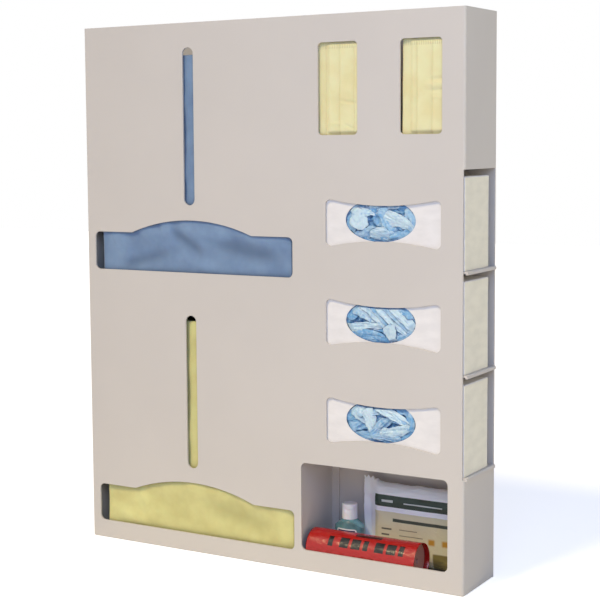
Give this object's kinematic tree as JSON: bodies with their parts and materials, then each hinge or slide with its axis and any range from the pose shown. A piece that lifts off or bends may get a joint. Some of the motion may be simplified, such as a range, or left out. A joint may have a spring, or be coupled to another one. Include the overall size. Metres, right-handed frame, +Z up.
{
  "type": "gown isolation station",
  "caption": "Wall-hung dispensing case for isolation supplies, stocked with folded gowns, pleated masks, glove cartons, a sanitizer bottle, wipes and waste bags.",
  "frame": {"origin": "centre of the back face, half-way up and half-way across the case", "axes": "+Y into the wall, +Z up, +X to the right of a person who faces the station"},
  "size_m": [0.638, 0.1095, 0.8],
  "materials": {
    "abs_sheet": "satin",
    "carton_board": "matt",
    "nitrile": "satin",
    "blue_cloth": "matt",
    "yellow_cloth": "matt",
    "mask_cloth": "matt",
    "bottle_plastic": "gloss",
    "cap_plastic": "satin",
    "pack_film": "gloss",
    "bag_film": "gloss"
  },
  "bodies": {
    "station": {"front_cover": "abs_sheet", "back_panel": "abs_sheet", "bottom_panel": "abs_sheet", "divider": "abs_sheet", "gown_shelf": "abs_sheet", "mask_shelf": "abs_sheet", "mask_partition": "abs_sheet", "mask_stack_left": "mask_cloth", "mask_stack_right": "mask_cloth", "sanitizer_bottle": "bottle_plastic", "sanitizer_cap": "cap_plastic", "wipes_pack": "pack_film", "bag_roll": "bag_film", "glove_shelf_1": "abs_sheet", "glove_carton_1": "carton_board", "gloves_1": "nitrile", "glove_shelf_2": "abs_sheet", "glove_carton_2": "carton_board", "gloves_2": "nitrile", "glove_shelf_3": "abs_sheet", "glove_carton_3": "carton_board", "gloves_3": "nitrile", "blue_gown_1": "blue_cloth", "blue_gown_2": "blue_cloth", "blue_gown_3": "blue_cloth", "blue_gown_4": "blue_cloth", "blue_gown_5": "blue_cloth", "blue_gown_6": "blue_cloth", "blue_gown_7": "blue_cloth", "blue_gown_8": "blue_cloth", "yellow_gown_1": "yellow_cloth", "yellow_gown_2": "yellow_cloth", "yellow_gown_3": "yellow_cloth", "yellow_gown_4": "yellow_cloth", "yellow_gown_5": "yellow_cloth", "yellow_gown_6": "yellow_cloth"},
    "lid": {"sanitizer_lid": "cap_plastic"}
  },
  "joints": [
    {"name": "lid_hinge", "type": "hinge", "parent": "station", "child": "lid", "pos_m": [0.1045, -0.0226, -0.3185], "axis": [-1, 0, 0], "range_deg": [0, 115]}
  ]
}
